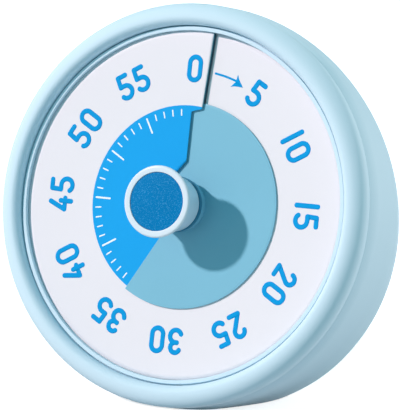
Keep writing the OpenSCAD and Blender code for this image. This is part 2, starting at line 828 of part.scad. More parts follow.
module case_screws() {
    seat = post_end - 1.2;
    color("#b9bcc0") on_face() at_screws() difference() {
        union() {
            translate([0, 0, seat - screw_head_h]) cylinder(r = screw_head_r, h = screw_head_h);
            translate([0, 0, seat - eps]) cylinder(r = screw_r, h = 5.5);
        }
        for (turn = [0, 90]) rotate(turn) translate([-1.3, -0.3, seat - screw_head_h - 0.1])
            cube([2.6, 0.6, 0.8]);
    }
}

front_bezel();
rear_case();
dial_ring();
dial_plate();
chassis();
time_disc();
disc_hub();
knob();
knob_inlay();
arbor();
time_wheel();
clutch_spring();
second_wheel();
third_wheel();
rotor();
train_pins();
stator();
coil_bobbin();
coil_winding();
movement_cover();
movement_screws();
circuit_board();
crystal_and_chip();
volume_switch();
volume_slider();
buzzer();
battery();
battery_button();
positive_contact();
negative_contact();
battery_door();
case_screws();
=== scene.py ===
import math

import bpy
import numpy as np
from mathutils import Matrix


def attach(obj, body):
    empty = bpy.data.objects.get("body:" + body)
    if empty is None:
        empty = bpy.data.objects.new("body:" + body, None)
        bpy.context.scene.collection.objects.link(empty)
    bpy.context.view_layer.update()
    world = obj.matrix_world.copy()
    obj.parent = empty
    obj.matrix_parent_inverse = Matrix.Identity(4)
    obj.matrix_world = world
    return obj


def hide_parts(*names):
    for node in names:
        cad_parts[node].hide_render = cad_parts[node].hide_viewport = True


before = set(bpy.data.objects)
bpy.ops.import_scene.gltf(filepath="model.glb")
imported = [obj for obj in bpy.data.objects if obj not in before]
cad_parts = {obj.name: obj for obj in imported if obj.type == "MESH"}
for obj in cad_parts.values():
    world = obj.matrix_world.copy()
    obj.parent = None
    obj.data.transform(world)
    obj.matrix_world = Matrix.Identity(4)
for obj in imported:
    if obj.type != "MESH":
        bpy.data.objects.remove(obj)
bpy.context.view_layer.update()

print("frame loaded:", len(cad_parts), "nodes")

# The dial leans back by tilt degrees about a point dialHeight above the base. Lengths are in millimetres.
stand = {"tilt": 13.5, "dialHeight": 43.0005, "pitch": 1.0}
lean = math.radians(stand["tilt"])
perMetre = 1000  # millimetres in a metre
mapUnit = 100  # millimetres for one unit of the dial's map
minuteAngle = 6  # degrees of clock angle for one minute
sharpAngle = 35  # degrees between two faces past which their edge is drawn sharp


# A point of the face: x to the right, up along the dial, out towards the reader.
# y = up sin(lean) - out cos(lean), z = dialHeight + up cos(lean) + out sin(lean), in metres.
def onFace(x, up, out):
    x, up, out = np.broadcast_arrays(x, up, out)
    y = up * math.sin(lean) - out * math.cos(lean)
    z = stand["dialHeight"] + up * math.cos(lean) + out * math.sin(lean)
    return np.stack([x, y, z], -1).reshape(-1, 3) / perMetre


# Height of the winding dial at a clock angle in degrees: it rises by the pitch over one turn.
def windingHeight(angle):
    return stand["pitch"] * (angle / 360 - 0.5)


# Faces of a grid of nu by nv points: quad (i, j), (i + 1, j), (i + 1, j + 1), (i, j + 1).
def gridFaces(nu, nv, closeU=False, closeV=False):
    i = np.arange(nu if closeU else nu - 1)[:, None]
    j = np.arange(nv if closeV else nv - 1)[None]
    i2, j2 = (i + 1) % nu, (j + 1) % nv
    return np.stack([i * nv + j, i2 * nv + j, i2 * nv + j2, i * nv + j2], -1).reshape(-1, 4)


# Six times the volume that the faces enclose, as the sum of each fan triangle's triple product.
def enclosed(points, faceSets):
    total = 0.0
    for faces in faceSets:
        for k in range(1, faces.shape[1] - 1):
            a, b, c = points[faces[:, 0]], points[faces[:, k]], points[faces[:, k + 1]]
            total += float((a * np.cross(b, c)).sum())
    return total


# A mesh object at the origin, riding on a body, from points and sets of faces with as many sides each. A
# closed shape whose enclosed volume comes out negative has its faces turned over.
def addPiece(name, points, faceSets, material, body, faceMap=None, closed=True):
    if closed and enclosed(points - points.mean(0), faceSets) < 0:
        faceSets = [f[:, ::-1] for f in faceSets]
    loops = np.concatenate([f.ravel() for f in faceSets])
    sizes = np.concatenate([np.full(len(f), f.shape[1]) for f in faceSets])
    starts = np.concatenate([[0], np.cumsum(sizes)[:-1]])
    mesh = bpy.data.meshes.new(name)
    mesh.vertices.add(len(points))
    mesh.vertices.foreach_set("co", points.astype(np.float32).ravel())
    mesh.loops.add(len(loops))
    mesh.loops.foreach_set("vertex_index", loops.astype(np.int32))
    mesh.polygons.add(len(sizes))
    mesh.polygons.foreach_set("loop_start", starts.astype(np.int32))
    mesh.update(calc_edges=True)
    mesh.validate()
    if faceMap is not None:
        layer = mesh.uv_layers.new(name="faceMap")
        layer.data.foreach_set("uv", faceMap[loops].astype(np.float32).ravel())
    mesh.shade_smooth()
    mesh.set_sharp_from_angle(angle=math.radians(sharpAngle))
    mesh.materials.append(material)
    piece = bpy.data.objects.new(name, mesh)
    bpy.context.scene.collection.objects.link(piece)
    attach(piece, body)
    return piece


# Each corner (r, out, radius) of a profile becomes an arc that touches both its sides. The arc's middle
# lies on the corner's bisector, as far off as the radius over the sine of half the corner's angle.
def rounded(corners, steps, closed=False):
    spots = np.array(corners, float)
    count = len(spots)
    parts = []
    for k in range(count):
        at, radius = spots[k, :2], spots[k, 2]
        if radius == 0 or (not closed and k in (0, count - 1)):
            parts.append(at[None])
            continue
        back = spots[k - 1, :2] - at
        ahead = spots[(k + 1) % count, :2] - at
        back, ahead = back / np.linalg.norm(back), ahead / np.linalg.norm(ahead)
        half = math.acos(np.clip(back @ ahead, -1, 1)) / 2
        middle = at + (back + ahead) / np.linalg.norm(back + ahead) * radius / math.sin(half)
        first = at + back * radius / math.tan(half) - middle
        last = at + ahead * radius / math.tan(half) - middle
        turn = math.pi - 2 * half
        t = np.linspace(0, 1, steps)[:, None]
        parts.append(middle + (first * np.sin((1 - t) * turn) + last * np.sin(t * turn)) / math.sin(turn))
    return np.concatenate(parts)


# Points of an arc about (r, out) with half axes a and b, from one angle to another in degrees:
# (r + a cos t, out + b sin t).
def arc(r, out, a, b, start, end, steps):
    t = np.radians(np.linspace(start, end, steps))
    return np.stack([r + a * np.cos(t), out + b * np.sin(t)], -1)


# A profile (r, out) turned about the knob's axis: x = r sin t, up = r cos t. A profile that starts and ends
# on the axis gets one point at each pole, and any other is closed into a ring.
def turned(name, profile, material, body, count):
    t = np.linspace(0, 2 * math.pi, count, endpoint=False)[:, None]
    poled = profile[0, 0] == 0
    ring = profile[1:-1] if poled else profile
    points = onFace(ring[None, :, 0] * np.sin(t), ring[None, :, 0] * np.cos(t), ring[None, :, 1])
    faceSets = [gridFaces(count, len(ring), True, not poled)]
    if poled:
        poles = onFace(np.zeros(2), np.zeros(2), profile[[0, -1], 1])
        first, last = len(points), len(points) + 1
        points = np.concatenate([points, poles])
        i = np.arange(count)
        i2 = (i + 1) % count
        m = len(ring)
        faceSets.append(np.stack([np.full(count, first), i2 * m, i * m], -1))
        faceSets.append(np.stack([np.full(count, last), i * m + m - 1, i2 * m + m - 1], -1))
    return addPiece(name, points, faceSets, material, body)


# A second material on the picked rows of a turned piece: row j lies between its points j and j + 1.
def paintRows(piece, material, picked, count):
    piece.data.materials.append(material)
    marks = np.zeros(len(piece.data.polygons), int)
    marks[:count * len(picked)] = np.tile(picked, count)
    piece.data.polygons.foreach_set("material_index", marks)


# A rounding of the given width on every edge that bends by more than the limit in degrees.
def roundEdges(piece, width, steps, limit):
    bevel = piece.modifiers.new("edge", "BEVEL")
    bevel.width = width / perMetre
    bevel.segments = steps
    bevel.limit_method = "ANGLE"
    bevel.angle_limit = math.radians(limit)


# A wall of the given thickness, grown backwards from a sheet. Its rim takes the material that lies
# rimMaterial slots further on.
def thicken(piece, thickness, rimMaterial=0):
    solid = piece.modifiers.new("thickness", "SOLIDIFY")
    solid.thickness = thickness / perMetre
    solid.offset = -1
    solid.material_offset_rim = rimMaterial
    solid.use_even_offset = True


# A colour written as on a paint chart, as linear red, green and blue: c / 12.92 for a dark share c, and
# else (c + 0.055) / 1.055 to the power of 2.4.
def paint(code):
    c = np.array([int(code[k:k + 2], 16) for k in (0, 2, 4)]) / 255
    return tuple(np.where(c <= 0.04045, c / 12.92, ((c + 0.055) / 1.055) ** 2.4)) + (1.0,)


# A node of one kind at a place in the editor, with settings and input values given by name.
def wire(tree, kind, at, **values):
    node = tree.nodes.new(kind)
    node.location = at
    for key, value in values.items():
        if hasattr(node, key):
            setattr(node, key, value)
        else:
            node.inputs[key].default_value = value
    return node


# The grain group's inputs: a finish's key for each, its title and its usual value. Scales are cells in a
# metre, and the bump's height is in metres.
grainInputs = {"grainScale": ("Grain scale", 2500.0), "grainDepth": ("Grain depth", 0.1),
               "cloudScale": ("Cloud scale", 40.0), "cloudDepth": ("Cloud depth", 0.03),
               "roughness": ("Base roughness", 0.4), "spread": ("Roughness spread", 0.06)}
grainBuild = {"grainDetail": 3.0, "cloudDetail": 2.0, "bumpHeight": 0.00002}


# Moulded plastic: a fine grain in the height, and a slow cloud less its mean of a half. Shade is 1 plus
# the cloud times its depth, and roughness is the base plus the cloud times the spread.
def makeMouldedGrain(s):
    group = bpy.data.node_groups.new("mouldedGrain", "ShaderNodeTree")
    for title, usual in grainInputs.values():
        socket = group.interface.new_socket(title, in_out="INPUT", socket_type="NodeSocketFloat")
        socket.default_value = usual
    group.interface.new_socket("Shade", in_out="OUTPUT", socket_type="NodeSocketFloat")
    group.interface.new_socket("Roughness", in_out="OUTPUT", socket_type="NodeSocketFloat")
    group.interface.new_socket("Normal", in_out="OUTPUT", socket_type="NodeSocketVector")
    source = wire(group, "NodeGroupInput", (-800, 0))
    result = wire(group, "NodeGroupOutput", (600, 0))
    coords = wire(group, "ShaderNodeTexCoord", (-800, -300))
    grain = wire(group, "ShaderNodeTexNoise", (-500, -200), Detail=s["grainDetail"])
    cloud = wire(group, "ShaderNodeTexNoise", (-500, 200), Detail=s["cloudDetail"])
    link = group.links.new
    link(coords.outputs["Object"], grain.inputs["Vector"])
    link(coords.outputs["Object"], cloud.inputs["Vector"])
    link(source.outputs["Grain scale"], grain.inputs["Scale"])
    link(source.outputs["Cloud scale"], cloud.inputs["Scale"])
    bump = wire(group, "ShaderNodeBump", (100, -200), Distance=s["bumpHeight"])
    link(source.outputs["Grain depth"], bump.inputs["Strength"])
    link(grain.outputs["Fac"], bump.inputs["Height"])
    link(bump.outputs["Normal"], result.inputs["Normal"])
    centred = wire(group, "ShaderNodeMath", (-300, 200), operation="SUBTRACT")
    centred.inputs[1].default_value = 0.5
    link(cloud.outputs["Fac"], centred.inputs[0])
    shade = wire(group, "ShaderNodeMath", (-100, 300), operation="MULTIPLY_ADD")
    shade.inputs[2].default_value = 1.0
    link(centred.outputs[0], shade.inputs[0])
    link(source.outputs["Cloud depth"], shade.inputs[1])
    link(shade.outputs[0], result.inputs["Shade"])
    rough = wire(group, "ShaderNodeMath", (-100, 50), operation="MULTIPLY_ADD")
    link(centred.outputs[0], rough.inputs[0])
    link(source.outputs["Roughness spread"], rough.inputs[1])
    link(source.outputs["Base roughness"], rough.inputs[2])
    link(rough.outputs[0], result.inputs["Roughness"])
    return group


mouldedGrain = makeMouldedGrain(grainBuild)


# The grain group in a material's own nodes, with its normal and roughness wired and its shade returned.
def addGrain(tree, shader, look):
    grain = wire(tree, "ShaderNodeGroup", (-600, -200))
    grain.node_tree = mouldedGrain
    for key, (title, usual) in grainInputs.items():
        grain.inputs[title].default_value = look.get(key, usual)
    tree.links.new(grain.outputs["Normal"], shader.inputs["Normal"])
    tree.links.new(grain.outputs["Roughness"], shader.inputs["Roughness"])
    return grain.outputs["Shade"]


# Colour times shade, into the shader's base colour.
def shadeColour(tree, shader, colourSocket, shadeSocket):
    mix = wire(tree, "ShaderNodeVectorMath", (-250, 150), operation="SCALE")
    tree.links.new(colourSocket, mix.inputs[0])
    tree.links.new(shadeSocket, mix.inputs["Scale"])
    tree.links.new(mix.outputs[0], shader.inputs["Base Color"])


# A new material, with its nodes and its shader.
def newMaterial(name):
    material = bpy.data.materials.new(name)
    material.use_nodes = True
    tree = material.node_tree
    return material, tree, tree.nodes["Principled BSDF"]


usualIor = 1.48  # for a finish that names none


# One colour times the grain's shade, with the grain's normal and roughness. Metals and lacquers use it
# too, through metallic and coat.
def plastic(name, look):
    material, tree, shader = newMaterial(name)
    shade = addGrain(tree, shader, look)
    colour = wire(tree, "ShaderNodeRGB", (-600, 200))
    colour.outputs[0].default_value = paint(look["colour"])
    shadeColour(tree, shader, colour.outputs[0], shade)
    shader.inputs["IOR"].default_value = look.get("ior", usualIor)
    shader.inputs["Metallic"].default_value = look.get("metallic", 0.0)
    if "coat" in look:
        shader.inputs["Coat Weight"].default_value = look["coat"]
        shader.inputs["Coat Roughness"].default_value = look["coatRoughness"]
    return material


finishes = {
    "caseBlue": {"colour": "c9e3f1", "roughness": 0.5, "grainDepth": 0.12, "cloudDepth": 0.03, "ior": 1.12},
    "ringBlue": {"colour": "8fc0d8", "roughness": 0.4, "grainDepth": 0.1, "cloudDepth": 0.03},
    "discBlue": {"colour": "7dbad2", "roughness": 0.2, "grainDepth": 0.03, "cloudDepth": 0.04,
                 "cloudScale": 60.0, "ior": 1.25, "spread": 0.03},
    "hubBlue": {"colour": "7dbad2", "roughness": 0.5, "grainDepth": 0.03, "cloudDepth": 0.04,
                "cloudScale": 60.0, "ior": 1.12},
    "knobIce": {"colour": "d4e4f0", "roughness": 0.25, "grainDepth": 0.08, "cloudDepth": 0.02, "ior": 1.35},
    # The collar's dark teal is painted shade: it stands for the head's shadow on the collar and the stem.
    "collarPaintedShade": {"colour": "3a7d9c", "roughness": 0.3, "grainDepth": 0.05, "cloudDepth": 0.02,
                   "ior": 1.2},
    "figureBlue": {"colour": "0a98db", "roughness": 0.6, "grainDepth": 0.1, "cloudDepth": 0.12,
                   "cloudScale": 500.0, "ior": 1.12},
    # The dial's cut edges in dark teal are painted shade along the slit's step, the hole and the rim.
    "edgePaintedShade": {"colour": "4c9eb3", "roughness": 0.5, "grainDepth": 0.1, "cloudDepth": 0.05, "ior": 1.3},
    "tickWhite": {"colour": "e4f2fc", "roughness": 0.5, "grainDepth": 0.1, "cloudDepth": 0.05},
    "innerWhite": {"colour": "dfe6ea", "roughness": 0.5, "grainDepth": 0.2, "cloudDepth": 0.05},
    "gearPlastic": {"colour": "efe9d6", "roughness": 0.45, "grainDepth": 0.1, "cloudDepth": 0.05},
    "blackPlastic": {"colour": "26282d", "roughness": 0.5, "grainDepth": 0.3, "cloudDepth": 0.2},
    "platedSteel": {"colour": "c4c7cb", "roughness": 0.28, "metallic": 1.0, "grainDepth": 0.15,
                    "cloudDepth": 0.1},
    "motorIron": {"colour": "8a8d92", "roughness": 0.45, "metallic": 1.0, "grainDepth": 0.3,
                  "cloudDepth": 0.15},
    "copperWire": {"colour": "b4622d", "roughness": 0.35, "metallic": 1.0, "grainScale": 1500.0,
                   "grainDepth": 0.6},
    "boardGreen": {"colour": "2c7a4e", "roughness": 0.35, "grainDepth": 0.2, "cloudDepth": 0.2},
    "soundBrass": {"colour": "d8b25a", "roughness": 0.3, "metallic": 1.0, "grainDepth": 0.1,
                   "cloudDepth": 0.1},
    "cellJacket": {"colour": "3d424b", "roughness": 0.3, "grainDepth": 0.05, "cloudDepth": 0.1,
                   "coat": 0.4, "coatRoughness": 0.1},
}
materials = {name: plastic(name, look) for name, look in finishes.items()}

dialLook = {"white": "e5e5ec", "print": "18a2e8", "printMiddle": (-0.2, -0.05), "printRadius": 21.75,
            "printEdge": 0.05, "roughness": 0.6, "grainDepth": 0.12, "cloudDepth": 0.03, "ior": 1.15}


# The dial: white, and blue where the length of its own map of the face is less than the print's radius.
def makeDialPaint():
    material, tree, shader = newMaterial("dialPaint")
    shader.inputs["IOR"].default_value = dialLook["ior"]
    shade = addGrain(tree, shader, dialLook)
    place = wire(tree, "ShaderNodeUVMap", (-1300, 300))
    place.uv_map = "faceMap"
    length = wire(tree, "ShaderNodeVectorMath", (-1100, 300), operation="LENGTH")
    tree.links.new(place.outputs[0], length.inputs[0])
    edge = dialLook["printEdge"] / mapUnit
    mask = wire(tree, "ShaderNodeMapRange", (-900, 300))
    mask.inputs["From Min"].default_value = dialLook["printRadius"] / mapUnit - edge
    mask.inputs["From Max"].default_value = dialLook["printRadius"] / mapUnit + edge
    tree.links.new(length.outputs["Value"], mask.inputs["Value"])
    mix = wire(tree, "ShaderNodeMix", (-600, 300), data_type="RGBA")
    mix.inputs["A"].default_value = paint(dialLook["print"])
    mix.inputs["B"].default_value = paint(dialLook["white"])
    tree.links.new(mask.outputs[0], mix.inputs["Factor"])
    shadeColour(tree, shader, mix.outputs["Result"], shade)
    return material


inlayLook = {"deep": "0477b4", "ior": 1.08, "fleck": "5cb0e4", "cellScale": 6600.0, "fleckShare": 0.42,
             "fleckPower": 7.0, "roughness": 0.5, "grainScale": 6000.0, "grainDepth": 0.5,
             "cloudDepth": 0.2, "cloudScale": 120.0}


# The knob's inlay: blue with fine bright flecks. Each small cell's random shade, raised to a power so that
# few cells are bright, sets its share of the fleck's colour.
def makeInlayPaint():
    material, tree, shader = newMaterial("inlaySparkle")
    shader.inputs["IOR"].default_value = inlayLook["ior"]
    shade = addGrain(tree, shader, inlayLook)
    coords = wire(tree, "ShaderNodeTexCoord", (-1300, 300))
    cells = wire(tree, "ShaderNodeTexVoronoi", (-1100, 300), Scale=inlayLook["cellScale"])
    tree.links.new(coords.outputs["Object"], cells.inputs["Vector"])
    power = wire(tree, "ShaderNodeMath", (-900, 300), operation="POWER")
    power.inputs[1].default_value = inlayLook["fleckPower"]
    split = wire(tree, "ShaderNodeSeparateColor", (-1000, 150))
    tree.links.new(cells.outputs["Color"], split.inputs[0])
    tree.links.new(split.outputs[0], power.inputs[0])
    amount = wire(tree, "ShaderNodeMath", (-750, 300), operation="MULTIPLY")
    amount.inputs[1].default_value = inlayLook["fleckShare"]
    tree.links.new(power.outputs[0], amount.inputs[0])
    mix = wire(tree, "ShaderNodeMix", (-600, 300), data_type="RGBA")
    mix.inputs["A"].default_value = paint(inlayLook["deep"])
    mix.inputs["B"].default_value = paint(inlayLook["fleck"])
    tree.links.new(amount.outputs[0], mix.inputs["Factor"])
    shadeColour(tree, shader, mix.outputs["Result"], shade)
    return material


dialPaint = makeDialPaint()
inlaySparkle = makeInlayPaint()
print("finishes ready:", len(bpy.data.materials))

bezelShape = {"caseRadius": 44.5, "seamStep": 0.55, "tube": 3.25, "middle": 0.2, "inner": 1.6, "lip": 1.2,
              "seam": -0.9, "seamEdge": 0.1, "foot": -2.0, "tongueOuter": 42.85, "tongueInner": 42.0,
              "tongueDepth": 2.4, "hollowOuter": 0.4, "hollowRadius": 40.6, "hollowTop": 1.2,
              "skirtTop": 0.9, "skirtWall": 1.5, "around": 360}


# The rim: a quarter ellipse from the lip to the crest and a quarter circle outside it, down to the seam.
# Behind it come the tongue that enters the rear case, a hollow under the crest and the inner skirt. The
# circle starts just past the crest, where the ellipse has its last point.
def buildBezel(s):
    rim = s["caseRadius"] - s["seamStep"] - s["tube"]
    crest = s["middle"] + s["tube"]
    inside = rim - s["inner"]
    skirt = inside + s["skirtWall"]
    edge = s["seamEdge"]
    tongueFoot = s["seam"] - s["tongueDepth"]
    profile = np.concatenate([
        [[inside, s["foot"]]],
        arc(rim, s["lip"], s["inner"], crest - s["lip"], 180, 90, steps=24),
        arc(rim, s["middle"], s["tube"], s["tube"], 88, 0, steps=40),
        arc(rim + s["tube"] - edge, s["seam"] + edge, edge, edge, 0, -90, steps=5),
        [[s["tongueOuter"], s["seam"]], [s["tongueOuter"], tongueFoot], [s["tongueInner"], tongueFoot],
         [s["tongueInner"], s["hollowOuter"]], [s["hollowRadius"], s["hollowTop"]], [skirt, s["skirtTop"]],
         [skirt, s["foot"]]]])
    piece = turned("rimShell", profile, materials["caseBlue"], "case", s["around"])
    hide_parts("front_bezel")


dialRingShape = {"inner": 37.95, "outer": 39.05, "foot": -1.95, "top": 1.3, "groove": 0.25,
                 "grooveDepth": 0.5, "grooveRound": 0.05, "topRound": 0.1, "around": 360}


# The ring: a flat top with a groove along its outer side, whose foot slopes out to the full width.
def buildDialRing(s):
    side = s["outer"] - s["groove"]
    grooveFoot = s["top"] - s["grooveDepth"]
    slopeFoot = grooveFoot - s["groove"]
    corners = [(s["inner"], s["foot"], 0), (s["outer"], s["foot"], 0),
               (s["outer"], slopeFoot, s["grooveRound"]), (side, grooveFoot, s["grooveRound"]),
               (side, s["top"], s["topRound"]), (s["inner"], s["top"], s["topRound"])]
    profile = rounded(corners, steps=5, closed=True)
    piece = turned("dialRing", profile, materials["caseBlue"], "case", s["around"])
    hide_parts("dial_ring")


dialShape = {"radius": 37.9, "hole": 7.3, "thickness": 0.4, "stepLow": 20.25, "stepHigh": 21.35,
             "slit": 2.45, "slitSlope": 0.06, "slitWidth": 0.12, "cutStart": 9.6, "cutSlope": 1.2,
             "cutSpan": 50, "cutFade": 16, "innerEnd": 20.0, "fineStart": 20.1, "fineEnd": 21.6,
             "outerStart": 21.8, "fewRows": 16, "fineRows": 26, "around": 481}


# Distance of the slit's edge to the right of the 0 line at radius r: none inside, and past the step a line
# that leans outwards, slit + slope (r - stepHigh). The step between them is 3 t squared less 2 t cubed.
def slitEdge(r):
    s = dialShape
    step = np.clip((r - s["stepLow"]) / (s["stepHigh"] - s["stepLow"]), 0, 1)
    return (s["slit"] + s["slitSlope"] * (r - s["stepHigh"])) * step * step * (3 - 2 * step)


# The dial winds once round from under its own upper end: angle = start(r) + (end(r) - start(r)) u, with the
# winding height at that angle. Over the last stretch before the slit, its hole is cut off along a straight
# line, r = cutStart / (cos b + cutSlope sin b) at b degrees before the end, and the rows further out fade
# back to their own radius. The rows are close together at the slit's step.
def buildDial(s):
    u = np.linspace(0, 1, s["around"])[:, None]
    base = np.concatenate([np.linspace(s["hole"], s["innerEnd"], s["fewRows"]),
                           np.linspace(s["fineStart"], s["fineEnd"], s["fineRows"]),
                           np.linspace(s["outerStart"], s["radius"], s["fewRows"])])[None]
    left = 360 - 360 * u  # degrees before the upper end
    b = np.radians(np.clip(left, 0, s["cutSpan"]))
    cut = np.where(left < s["cutSpan"], s["cutStart"] / (np.cos(b) + s["cutSlope"] * np.sin(b)), 0)
    cut = np.maximum(cut, s["hole"])
    fade = np.clip((s["cutFade"] - base) / (s["cutFade"] - s["hole"]), 0, 1)
    r = base + (cut - s["hole"]) * fade
    slitLine = s["slit"] + s["slitSlope"] * np.maximum(r - s["stepHigh"], 0)
    start = np.degrees(np.arcsin((slitLine + s["slitWidth"]) / r))
    end = 360 + np.degrees(np.arcsin(slitEdge(r) / r))
    angle = start + (end - start) * u
    a = np.radians(angle)
    x, up = r * np.sin(a), r * np.cos(a)
    points = onFace(x, up, windingHeight(angle))
    faceMap = (np.stack([x, up], -1).reshape(-1, 2) - np.array(dialLook["printMiddle"])) / mapUnit
    faces = gridFaces(*angle.shape)
    piece = addPiece("dialSheet", points, [faces], dialPaint, "case", faceMap, closed=False)
    # The sheet's cut edges take the dark teal: painted shade along the slit's step and the hole's edge.
    piece.data.materials.append(materials["edgePaintedShade"])
    thicken(piece, s["thickness"], rimMaterial=1)
    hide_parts("dial_plate")


# Nudges move single numbers along the dial and outwards.
printShape = {"middle": (-0.28, -0.1), "lift": 0.015, "layerLift": 0.0004, "layers": 5, "thickness": 0.03,
              "figureRadius": 29.5, "figureStroke": 1.1, "figureGap": 0.65,
              "figureWidths": {"0": 4.2, "1": 1.6, "2": 3.5, "3": 3.4, "4": 3.3, "5": 3.6},
              "majorInner": 17.45, "minorInner": 19.6, "tickOuter": 20.8, "tickStroke": 0.4,
              "minorStroke": 0.3, "capSteps": 9, "acrossSteps": 5,
              "nudges": {0: (0.0, 0.35), 10: (0.0, 0.2), 15: (-0.4, 0.3), 20: (0.4, -0.2), 25: (0.2, 0.0),
                         30: (0.4, -0.1), 35: (0.0, -0.2), 50: (0.3, -0.2)}}


# A ribbon along a path: each point moves half the width to both sides of the path's direction. Round ends
# come from a half width that falls as the root of (w / 2) squared less t squared over the last half width.
def ribbon(path, width, closed=False):
    path = np.asarray(path, float)
    if not closed:
        t = np.sin(np.linspace(0, math.pi / 2, printShape["capSteps"]))[:-1][::-1] * width / 2
        first = path[0] - path[1]
        last = path[-1] - path[-2]
        first, last = first / np.linalg.norm(first), last / np.linalg.norm(last)
        head = path[0] + first * t[:, None]
        tail = path[-1] + last * t[::-1, None]
        half = np.concatenate([np.sqrt(width ** 2 / 4 - t ** 2), np.full(len(path) - 2, width / 2),
                               np.sqrt(width ** 2 / 4 - t[::-1] ** 2)])
        path = np.concatenate([head, path[1:-1], tail])
        along = np.gradient(path, axis=0)
    else:
        half = np.full(len(path), width / 2)
        along = np.roll(path, -1, 0) - np.roll(path, 1, 0)
    along = along / np.linalg.norm(along, axis=1)[:, None]
    side = np.stack([-along[:, 1], along[:, 0]], -1) * half[:, None]
    v = np.linspace(-1, 1, printShape["acrossSteps"])[None, :, None]
    return path[:, None] + side[:, None] * v


# Straight stretches from spot to spot: a + (b - a) t with t in even steps.
def line(*spots, steps=7):
    spots = np.array(spots, float)
    t = np.linspace(0, 1, steps)[:, None]
    stretches = [(a + (b - a) * t)[1:] for a, b in zip(spots[:-1], spots[1:])]
    return np.concatenate([spots[:1]] + stretches)


# The figures are drawn about their own middles. Each stroke is a chain of stretches: a line with its spots,
# or an arc with its middle, half axes, first and last angle and steps.
zeroShape = {"halfWidth": 1.3, "halfHeight": 2.5, "stepAngle": 5}
strokeChains = {
    "1": [[(line, (0, -2.5), (0, 2.5))]],
    "2": [[(arc, -0.05, 1.3, 1.15, 1.15, 175, -25, 24), (line, (0.7, 0.35), (-1.1, -2.5))],
          [(line, (-1.1, -2.5), (1.15, -2.5))]],
    "3": [[(arc, 0, 1.35, 1.1, 1.1, 155, -84, 24), (line, (0.05, 0.25), (-0.35, 0.25))],
          [(line, (-0.35, 0.25), (0.0, 0.25)), (arc, 0.05, -1.1, 1.35, 1.35, 86, -155, 26)]],
    "4": [[(line, (0.35, 2.5), (-1.2, -1.0))],
          [(line, (-1.2, -1.0), (1.25, -1.0))],
          [(line, (0.65, 0.05), (0.65, -2.5))]],
    "5": [[(line, (1.05, 2.5), (-0.85, 2.5))],
          [(line, (-0.85, 2.5), (-0.98, 0.3))],
          [(line, (-0.98, 0.3), (-0.2, 0.34)), (arc, 0.0, -1.07, 1.39, 1.39, 92, -145, 28)]],
}


# Strokes of a figure: (path, closed). The 0 is a circle pulled apart up and down, x = w cos t and
# y = w sin t + (h - w) times the sign of sin t. Any other figure's chains are joined end to end.
def figureStrokes(figure):
    if figure == "0":
        w, h = zeroShape["halfWidth"], zeroShape["halfHeight"]
        t = np.radians(np.arange(0, 360, zeroShape["stepAngle"]))
        return [(np.stack([w * np.cos(t), np.sign(np.sin(t)) * (h - w) + w * np.sin(t)], -1), True)]
    return [(np.concatenate([shape(*values) for shape, *values in chain]), False)
            for chain in strokeChains[figure]]


# A figure at a clock angle a with its top outwards: with the shift added to x and the radius to y, a point
# goes to (x cos a + y sin a, y cos a - x sin a).
def placeFigure(strip, shift, clock, radius):
    a = math.radians(clock)
    x = strip[..., 0] + shift
    y = strip[..., 1] + radius
    return np.stack([x * math.cos(a) + y * math.sin(a), y * math.cos(a) - x * math.sin(a)], -1)


# Flat strips laid on the winding dial: each point gets the dial's height at its own clock angle, counted on
# from the strip's reference angle, and strips that may cross lie a hair above each other.
def layPrint(name, strips, material):
    s = printShape
    points, faceSets, offset = [], [], 0
    for k, (strip, closed, reference) in enumerate(strips):
        flat = strip + np.array(s["middle"])
        angle = np.degrees(np.arctan2(flat[..., 0], flat[..., 1]))
        angle = angle + 360 * np.round((reference - angle) / 360)
        height = windingHeight(angle) + s["lift"] + s["layerLift"] * (k % s["layers"])
        points.append(onFace(flat[..., 0], flat[..., 1], height))
        faceSets.append(gridFaces(strip.shape[0], strip.shape[1], closed)[:, ::-1] + offset)
        offset += strip.shape[0] * strip.shape[1]
    points, faces = np.concatenate(points), np.concatenate(faceSets)
    a, b, c = points[faces[:, 0]], points[faces[:, 1]], points[faces[:, 2]]
    front = onFace(0, 0, 1)[0] - onFace(0, 0, 0)[0]
    backwards = np.cross(b - a, c - a) @ front < 0
    faces[backwards] = faces[backwards][:, ::-1]
    piece = addPiece(name, points, [faces], material, "case", closed=False)
    thicken(piece, s["thickness"])


# The minutes in fives: a number's figures stand side by side about its clock angle. The 0 counts as a full
# turn, because it lies on the dial's upper end.
def buildFigures(s):
    strips = []
    for minute in range(0, 60, 5):
        text = str(minute)
        widths = [s["figureWidths"][c] for c in text]
        left = -(sum(widths) + s["figureGap"] * (len(text) - 1)) / 2
        clock = minute * minuteAngle
        along, outwards = s["nudges"].get(minute, (0, 0))
        for c, wide in zip(text, widths):
            shift = left + wide / 2 + along
            radius = s["figureRadius"] + outwards
            left += wide + s["figureGap"]
            for path, closed in figureStrokes(c):
                strip = placeFigure(ribbon(path, s["figureStroke"], closed), shift, clock, radius)
                strips.append((strip, closed, clock if minute else 360))
    layPrint("minuteFigures", strips, materials["figureBlue"])


# Places are (radius, clock angle).
arrowShape = {"radius": 29.55, "start": 9.0, "end": 19.0, "stroke": 0.48, "tip": (29.0, 23.4),
              "upper": (31.0, 18.9), "lower": (27.9, 17.7), "notch": (29.3, 19.2), "headEnd": 0.96,
              "bow": 0.22, "shaftSteps": 20, "headSteps": 7, "headRows": 5}


